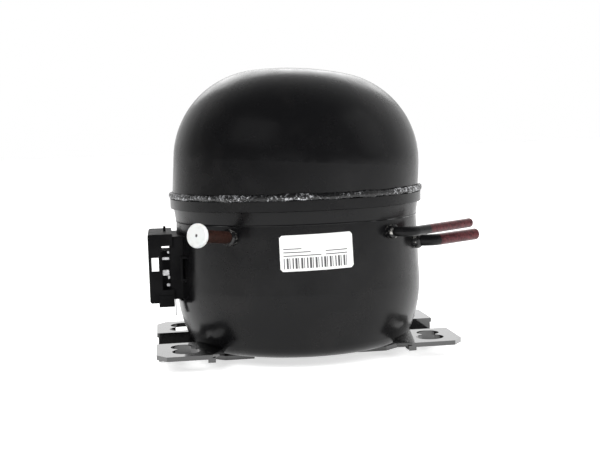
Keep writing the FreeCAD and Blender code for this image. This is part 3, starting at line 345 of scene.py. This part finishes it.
def stub_finish(node):
    """A line stub: black paint from the shell on, and bare copper past a ragged border."""
    mount = mounts[node.replace("tube", "stub")]
    way = Vector(mount["axis"])
    middle = Vector(mount["pos_m"])
    tip = middle + way * (mount["dims"]["length_mm"] * MM / 2)
    finish = Finish(node + "_finish", COPPER, 0.35)
    along = finish.position_along(tip - way * BARE_LENGTH[node], way)
    ragged = finish.math("MULTIPLY", finish.noise(240.0, 4.0), BORDER_RAGGED)
    edge = finish.math("ADD", along, ragged)
    bare = finish.spread(edge, BORDER_START, BORDER_END)
    finish.feed(finish.mix(bare, BLACK, bare_copper_colour(finish, COPPER, DARK_COPPER)), "Base Color")
    finish.feed(finish.math("MULTIPLY", bare, 0.5), "Metallic")
    finish.set("Specular IOR Level", PAINT_SHEEN)
    finish.vary_sheen(finish.noise(500.0, 4.0), 0.3, 0.7, 0.24, 0.46)
    finish.bump(finish.noise(700.0, 3.0), 0.05 * MM, 0.5)
    return finish.material


def bare_copper(name, bright, dark, metallic):
    """Copper tube without paint."""
    finish = Finish(name, bright, 0.35, metallic)
    finish.set("Specular IOR Level", PAINT_SHEEN)
    finish.feed(bare_copper_colour(finish, bright, dark), "Base Color")
    finish.vary_sheen(finish.noise(500.0, 4.0), 0.3, 0.7, 0.26, 0.48)
    finish.bump(finish.noise(700.0, 3.0), 0.05 * MM, 0.5)
    return finish.material


def braze_metal():
    """A steel socket with a run of silver solder, painted over in places."""
    finish = Finish("braze_metal", BLACK, 0.3)
    runs = finish.spread(finish.noise(330.0, 4.0, 0.6), 0.56, 0.62)
    finish.feed(finish.mix(runs, BLACK, (0.42, 0.41, 0.39)), "Base Color")
    finish.feed(runs, "Metallic")
    finish.vary_sheen(finish.noise(200.0), 0.3, 0.7, 0.15, 0.36)
    finish.bump(finish.noise(420.0, 3.0), 0.25 * MM, 0.8)
    return finish.material


def white_rubber():
    """White rubber, with painted shade in the dimple on its axis: dark grey near the axis, fading out to the
    rubber.
    """
    finish = Finish("white_rubber", (0.72, 0.72, 0.71), 0.55)
    grime = finish.spread(finish.noise(120.0, 4.0), 0.55, 0.8)
    rubber = finish.mix(grime, (0.72, 0.72, 0.71), (0.54, 0.53, 0.51))
    pull = next(joint for joint in record["behaviour"]["joints"] if joint["name"] == "plug_pull")
    corners = [vertex.co for vertex in nodes["process_plug"].data.vertices]
    aside = finish.distance_from(sum(corners, Vector()) / len(corners), pull["axis"])
    # Painted shade: the dimple round the plug's axis is coloured dark grey instead of the rubber
    finish.blend(aside, DIMPLE_SHADE_RADIUS, DIMPLE_SHADE_EDGE, PLUG_DIMPLE_SHADE, rubber)
    finish.bump(finish.noise(900.0, 2.0), 0.03 * MM, 0.5)
    finish.set("Subsurface Weight", 0.05)
    return finish.material


def moulded_plastic(name, colour, roughness, sheen=0.5):
    """Moulded plastic: an even colour, a fine spark-eroded grain and handling marks in the sheen."""
    finish = Finish(name, colour, roughness)
    finish.set("Specular IOR Level", sheen)
    lighter = tuple(min(1.0, value * 1.25 + 0.004) for value in colour)
    finish.blend(finish.noise(60.0, 4.0), 0.4, 0.75, colour, lighter)
    finish.vary_sheen(finish.noise(85.0, 5.0), 0.3, 0.75, roughness * SMOOTHEST, roughness * ROUGHEST)
    finish.bump(finish.noise(1500.0, 2.0), 0.03 * MM, 0.6)
    return finish.material


def bright_steel():
    """Ground or drawn steel with a dull bloom in places."""
    finish = Finish("bright_steel", STEEL, 0.3, 1.0)
    finish.blend(finish.noise(140.0, 5.0), 0.35, 0.75, STEEL, (0.34, 0.34, 0.35))
    finish.vary_sheen(finish.noise(400.0, 4.0), 0.3, 0.7, 0.2, 0.4)
    finish.bump(finish.noise(1200.0, 2.0), 0.02 * MM, 0.5)
    return finish.material


def seal_glass():
    """The dark glass that holds the pins of the feed-through."""
    finish = Finish("seal_glass", (0.05, 0.09, 0.12), 0.08)
    finish.feed(finish.mix(finish.noise(300.0), (0.04, 0.08, 0.11), (0.08, 0.13, 0.16)), "Base Color")
    finish.set("Coat Weight", 0.6)
    return finish.material


def laminated_steel():
    """Stacked sheet steel: fine level lines with the blue-grey of annealing."""
    finish = Finish("laminated_steel", (0.30, 0.31, 0.33), 0.4, 0.9)
    lines = finish.waves(320.0, "Z")
    finish.feed(finish.mix(lines, (0.20, 0.21, 0.23), (0.40, 0.41, 0.43)), "Base Color")
    finish.bump(lines, 0.06 * MM, 0.7)
    return finish.material


def winding_wire():
    """Enamelled copper wire laid in a bundle."""
    finish = Finish("winding_wire", (0.42, 0.15, 0.05), 0.3, 0.5)
    strands = finish.noise(240.0, 4.0, 0.6, (1, 1, 6))
    finish.blend(strands, 0.35, 0.65, (0.20, 0.06, 0.02), (0.52, 0.21, 0.08))
    finish.bump(strands, 0.4 * MM, 0.9)
    return finish.material


def cast_metal(name, colour, metallic, roughness):
    """A casting: blotched, with a sandy grain."""
    finish = Finish(name, colour, roughness, metallic)
    darker = tuple(value * 0.65 for value in colour)
    finish.blend(finish.noise(110.0, 5.0), 0.35, 0.7, colour, darker)
    finish.vary_sheen(finish.noise(260.0, 4.0), 0.3, 0.7, roughness * SMOOTHEST, roughness * ROUGHEST)
    finish.bump(finish.noise(900.0, 4.0), 0.12 * MM, 0.7)
    return finish.material


def pressed_fibre():
    """Gasket sheet, matt and speckled."""
    finish = Finish("pressed_fibre", (0.10, 0.09, 0.08), 0.8)
    finish.feed(finish.mix(finish.noise(900.0, 4.0), (0.07, 0.065, 0.06), (0.15, 0.14, 0.12)), "Base Color")
    finish.bump(finish.noise(1400.0, 3.0), 0.05 * MM, 0.7)
    return finish.material


def braided_sleeve():
    """Woven sleeving over the leads: crossing waves give the braid."""
    finish = Finish("braided_sleeve", (0.74, 0.71, 0.62), 0.85)
    braid = finish.math("MULTIPLY", finish.waves(700.0, "DIAGONAL"), finish.waves(700.0, "Z"))
    finish.feed(finish.mix(braid, (0.55, 0.52, 0.44), (0.80, 0.78, 0.70)), "Base Color")
    finish.bump(braid, 0.15 * MM, 0.8)
    return finish.material


def label_film():
    """A white film with a satin face. Its print is plain rules and bars, in pieces of their own."""
    finish = Finish("label_film", (0.84, 0.84, 0.83), 0.35)
    finish.blend(finish.noise(40.0, 5.0), 0.5, 0.8, (0.86, 0.86, 0.85), (0.74, 0.74, 0.73))
    finish.bump(finish.noise(500.0, 2.0), 0.01 * MM, 0.5)
    return finish.material


def label_ink():
    """Dark print, a little uneven."""
    finish = Finish("label_ink", (0.04, 0.04, 0.045), 0.45)
    finish.feed(finish.mix(finish.noise(1800.0, 2.0), (0.03, 0.03, 0.035), (0.12, 0.12, 0.12)), "Base Color")
    return finish.material


# Materials on the CAD nodes

shell_black = shell_paint()
foot_black = foot_paint()
braze = braze_metal()
steel = bright_steel()
cover_black = moulded_plastic("cover_black", (0.006, 0.006, 0.0064), 0.5, PLASTIC_SHEEN)
relay_black = moulded_plastic("relay_black", (0.007, 0.007, 0.0075), 0.4, PLASTIC_SHEEN)
pale_plastic = moulded_plastic("pale_plastic", (0.66, 0.62, 0.50), 0.45)
snubber_plastic = moulded_plastic("snubber_plastic", (0.42, 0.43, 0.42), 0.5)
cast_iron = cast_metal("cast_iron", (0.22, 0.22, 0.23), 0.8, 0.45)
cast_aluminium = cast_metal("cast_aluminium", (0.62, 0.63, 0.64), 0.95, 0.4)
laminations = laminated_steel()
fibre = pressed_fibre()
NODE_FINISHES = {
    "upper_shell": shell_black,
    "lower_shell": shell_black,
    "seam_weld": shell_black,
    "left_foot_bracket": foot_black,
    "right_foot_bracket": foot_black,
    "suction_collar": braze,
    "discharge_collar": braze,
    "process_collar": braze,
    "suction_tube": stub_finish("suction_tube"),
    "discharge_tube": stub_finish("discharge_tube"),
    "process_tube": bare_copper("charge_copper", BROWN_COPPER, DARK_BROWN_COPPER, 0.4),
    "process_plug": white_rubber(),
    "relay_cover": cover_black,
    "terminal_fence": cover_black,
    "cover_hook": cover_black,
    "ground_tab": steel,
    "start_relay": relay_black,
    "overload_protector": relay_black,
    "terminal_body": shell_black,
    "terminal_glass": seal_glass(),
    "terminal_pins": steel,
    "terminal_connector": pale_plastic,
    "stator_core": laminations,
    "rotor_core": laminations,
    "stator_windings": winding_wire(),
    "stator_bolts": steel,
    "rotor_cage": cast_aluminium,
    "cylinder_block": cast_iron,
    "crankshaft": cast_iron,
    "counterweight": cast_iron,
    "thrust_washer": steel,
    "oil_metering_plug": steel,
    "oil_pickup": steel,
    "slide_block": cast_iron,
    "yoke_tube": cast_iron,
    "piston": cast_iron,
    "cylinder_gasket": fibre,
    "head_gasket": fibre,
    "valve_plate": steel,
    "suction_reed": steel,
    "discharge_reed": steel,
    "cylinder_head": cast_aluminium,
    "head_bolts": steel,
    "suction_muffler": pale_plastic,
    "discharge_muffler": steel,
    "discharge_loop": bare_copper("loop_copper", FRESH_COPPER, DULL_COPPER, 0.9),
    "lead_bundle": braided_sleeve(),
    "lower_snubbers": snubber_plastic,
    "upper_snubbers": snubber_plastic,
    "suspension_springs": steel,
}
for name, thing in nodes.items():
    thing.data.materials.clear()
    thing.data.materials.append(NODE_FINISHES[name])


# New pieces

def put(name, data):
    """Makes an object of a mesh, a lamp or a camera and links it into the scene."""
    thing = bpy.data.objects.new(name, data)
    bpy.context.scene.collection.objects.link(thing)
    return thing


def add_mesh(name, points, faces, material, body):
    """A smooth piece that moves with a body."""
    mesh = bpy.data.meshes.new(name)
    mesh.from_pydata(points, [], faces)
    mesh.update()
    mesh.materials.append(material)
    for polygon in mesh.polygons:
        polygon.use_smooth = True
    thing = put(name, mesh)
    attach(thing, body)
    return thing


def ring_faces(rows, columns):
    """Quads of a grid whose rows and columns both wrap round."""
    faces = []
    for row in range(rows):
        upper = (row + 1) % rows
        for column in range(columns):
            after = (column + 1) % columns
            faces.append((row * columns + column, row * columns + after,
                          upper * columns + after, upper * columns + column))
    return faces


def weld_bead():
    """The bead all round the seam: it swells, thins and ripples as it was laid."""
    low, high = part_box("seam_weld")
    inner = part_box("upper_shell")[1].y
    outer = high.y
    middle_r = (inner + outer) / 2
    middle_z = (low.z + high.z) / 2
    half_r = (outer - inner) / 2
    half_z = (high.z - low.z) / 2
    points = []
    for ring in range(WELD_RINGS):
        turn = 2 * math.pi * ring / WELD_RINGS
        for step in range(WELD_STEPS):
            angle = 2 * math.pi * step / WELD_STEPS
            along = Vector((math.cos(angle), math.sin(angle), 0)) * outer
            swell = noise.noise(along * BULGE_SCALE) * WELD_BULGE
            ripple_place = Vector((along.x, along.y, ring * RIPPLE_STEP)) * RIPPLE_SCALE
            ripple = noise.noise(ripple_place) * WELD_RIPPLE
            size = 1 + (swell + ripple) / half_r * WELD_SHARE
            sag = noise.noise(along * SAG_SCALE + SAG_PLACE) * half_z * WELD_SAG
            radius = middle_r + math.cos(turn) * half_r * size
            level = middle_z + sag + math.sin(turn) * half_z * size * WELD_FLATNESS
            points.append((math.cos(angle) * radius, math.sin(angle) * radius, level))
    bead = add_mesh("weld_bead", points, ring_faces(WELD_RINGS, WELD_STEPS), weld_metal(), "shell")
    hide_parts("seam_weld")


weld_bead()

shell_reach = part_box("lower_shell")[1].x
shell_surface = BVHTree.FromPolygons(
    [vertex.co.copy() for vertex in nodes["lower_shell"].data.vertices],
    [tuple(polygon.vertices) for polygon in nodes["lower_shell"].data.polygons])


def on_shell(across, up, lift):
    """A point on the shell's front, given from the label's centre, lifted off the surface."""
    tilt = math.radians(LABEL_TILT)
    flat_x = across * math.cos(tilt) - up * math.sin(tilt)
    flat_z = across * math.sin(tilt) + up * math.cos(tilt)
    angle = math.radians(LABEL_ANGLE) + flat_x / shell_reach
    way = Vector((math.cos(angle), math.sin(angle), 0))
    start = way * shell_reach * 2 + Vector((0, 0, LABEL_LEVEL + flat_z))
    hit, _, _, _ = shell_surface.ray_cast(start, -way)
    return hit + way * lift


def label_patch(name, left, right, low, high, corner, lift, material):
    """A thin patch that follows the shell. Its corners are rounded where a corner radius is given."""
    columns = max(2, round((right - left) / PATCH_COLUMN))
    rows = max(2, round((high - low) / PATCH_ROW))
    points = []
    for row in range(rows + 1):
        up = low + (high - low) * row / rows
        inset = 0.0
        edge = min(up - low, high - up)
        if corner > 0 and edge < corner:
            inset = corner - math.sqrt(max(corner ** 2 - (corner - edge) ** 2, 0.0))
        for column in range(columns + 1):
            across = left + inset + (right - left - 2 * inset) * column / columns
            points.append(on_shell(across, up, lift))
    wide = columns + 1
    faces = []
    for row in range(rows):
        for column in range(columns):
            below = row * wide + column
            above = below + wide
            faces.append((below, below + 1, above + 1, above))
    add_mesh(name, points, faces, material, "shell")


def label():
    """The label and its print, which lies a little higher."""
    half_w = LABEL_WIDTH / 2
    half_h = LABEL_HEIGHT / 2
    label_patch("label", -half_w, half_w, -half_h, half_h, LABEL_CORNER, LABEL_LIFT, label_film())
    ink = label_ink()
    for name, left, right, low, high in label_rules(half_w, half_h):
        label_patch(name, left, right, low, high, 0.0, INK_LIFT, ink)


def label_rules(half_w, half_h):
    """Plain print: a band of upright bars along the foot, and level rules above it."""
    left = -half_w + LABEL_MARGIN
    for bar in range(BAR_COUNT):
        start = left + bar * BAR_PITCH
        width = BAR_WIDTHS[bar % len(BAR_WIDTHS)]
        low = -half_h + BAR_FOOT
        yield "label_bar_%d" % bar, start, start + width, low, low + BAR_HEIGHT
    for rule, (start, end, level) in enumerate(RULES):
        low = level - RULE_HEIGHT / 2
        yield "label_rule_%d" % rule, left + start, left + end, low, low + RULE_HEIGHT


label()


def relay_metal():
    """Plain blocks of bright steel that stand on the relay's open side."""
    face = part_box("start_relay")[0].y
    shape = bmesh.new()
    for across, level, width, height in RELAY_METAL:
        size = Matrix.Diagonal((width, RELAY_METAL_DEPTH + RELAY_METAL_SINK, height, 1.0))
        middle = Vector((across, face - (RELAY_METAL_DEPTH - RELAY_METAL_SINK) / 2, level))
        bmesh.ops.create_cube(shape, size=1.0, matrix=Matrix.Translation(middle) @ size)
    bmesh.ops.bevel(shape, geom=shape.edges[:], offset=RELAY_METAL_EDGE, segments=2, affect="EDGES")
    mesh = bpy.data.meshes.new("relay_metal")
    shape.to_mesh(mesh)
    shape.free()
    mesh.materials.append(steel)
    thing = put("relay_metal", mesh)
    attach(thing, "shell")


relay_metal()


# Stage, light and camera

def floor():
    """A pale floor that shows white to the camera and in reflections, and keeps the shadow."""
    low = cad_box[0].z
    mesh = bpy.data.meshes.new("floor")
    corners = [(-FLOOR_HALF, -FLOOR_HALF, low), (FLOOR_HALF, -FLOOR_HALF, low),
               (FLOOR_HALF, FLOOR_HALF, low), (-FLOOR_HALF, FLOOR_HALF, low)]
    mesh.from_pydata(corners, [], [(0, 1, 2, 3)])
    finish = Finish("floor_finish", FLOOR_SHADE, 0.6)
    paler = tuple(value * 1.02 for value in FLOOR_SHADE)
    finish.feed(finish.mix(finish.noise(8.0), FLOOR_SHADE, paler), "Base Color")
    path = finish.tree.nodes.new("ShaderNodeLightPath")
    shown = finish.math("MAXIMUM", path.outputs["Is Camera Ray"], path.outputs["Is Glossy Ray"])
    shown = finish.math("MAXIMUM", shown, path.outputs["Is Transmission Ray"])
    finish.set("Emission Color", (1.0, 1.0, 1.0, 1.0))
    finish.feed(finish.math("MULTIPLY", shown, FLOOR_GLOW), "Emission Strength")
    mesh.materials.append(finish.material)
    thing = put("floor", mesh)


def area_light(name, place, size, power, glossy):
    """A soft lamp aimed at the object. One that is not glossy lights it without showing in its gloss."""
    data = bpy.data.lights.new(name, "AREA")
    data.shape = "RECTANGLE"
    data.size, data.size_y = size
    data.energy = power
    lamp = put(name, data)
    lamp.location = place
    lamp.rotation_mode = "QUATERNION"
    lamp.rotation_quaternion = (LIGHT_AIM - Vector(place)).to_track_quat("-Z", "Y")
    lamp.visible_glossy = glossy


def world():
    """White to the camera. The object itself sees a studio that is dark in front and white behind."""
    made = bpy.data.worlds.new("studio")
    bpy.context.scene.world = made
    made.use_nodes = True
    tree = made.node_tree
    ground = tree.nodes["Background"]
    ground.inputs["Color"].default_value = (1.0, 1.0, 1.0, 1.0)
    way = tree.nodes.new("ShaderNodeTexCoord")
    turned = tree.nodes.new("ShaderNodeVectorMath")
    turned.operation = "DOT_PRODUCT"
    turned.inputs[1].default_value = BRIGHT_SIDE
    tree.links.new(way.outputs["Generated"], turned.inputs[0])
    room = tree.nodes.new("ShaderNodeMapRange")
    room.interpolation_type = "SMOOTHSTEP"
    room.inputs["From Min"].default_value = DARK_FROM
    room.inputs["From Max"].default_value = BRIGHT_FROM
    room.inputs["To Min"].default_value = WORLD_IN_FRONT
    room.inputs["To Max"].default_value = WORLD_BEHIND
    tree.links.new(turned.outputs["Value"], room.inputs["Value"])
    path = tree.nodes.new("ShaderNodeLightPath")
    seen = tree.nodes.new("ShaderNodeMapRange")
    seen.inputs["To Max"].default_value = WORLD_SEEN
    tree.links.new(path.outputs["Is Camera Ray"], seen.inputs["Value"])
    tree.links.new(room.outputs["Result"], seen.inputs["To Min"])
    tree.links.new(seen.outputs["Result"], ground.inputs["Strength"])


def camera():
    """The camera at the photograph's place, turned by its yaw, pitch and roll."""
    yaw, pitch, roll = (math.radians(value) for value in (CAMERA_YAW, CAMERA_PITCH, CAMERA_ROLL))
    back = Vector((math.sin(yaw) * math.cos(pitch), -math.cos(yaw) * math.cos(pitch), math.sin(pitch)))
    right = Vector((math.cos(yaw), math.sin(yaw), 0))
    up = right.cross(-back)
    rolled_right = right * math.cos(roll) + up * math.sin(roll)
    rolled_up = up * math.cos(roll) - right * math.sin(roll)
    data = bpy.data.cameras.new("camera")
    data.lens = CAMERA_LENS
    data.sensor_width = SENSOR_WIDTH
    data.clip_start = CLIP_NEAR
    data.clip_end = CLIP_FAR
    thing = put("camera", data)
    turn = Matrix((rolled_right, rolled_up, back)).transposed().to_4x4()
    thing.matrix_world = Matrix.Translation(CAMERA_PLACE) @ turn
    bpy.context.scene.camera = thing


floor()
world()
camera()
area_light("key", (-0.9, -1.3, 1.1), (0.9, 0.9), 26, False)
area_light("fill", (1.0, -1.2, 0.7), (0.9, 1.2), 20, False)
area_light("sheen_left", (-1.5, -1.2, 1.5), (1.6, 1.2), 2.5, True)
area_light("sheen_right", (1.7, -0.6, 1.1), (1.0, 1.6), 2.5, True)
area_light("rim", (0.2, 1.5, 1.0), (1.6, 0.8), 8, True)
bpy.context.scene.view_settings.view_transform = "Standard"
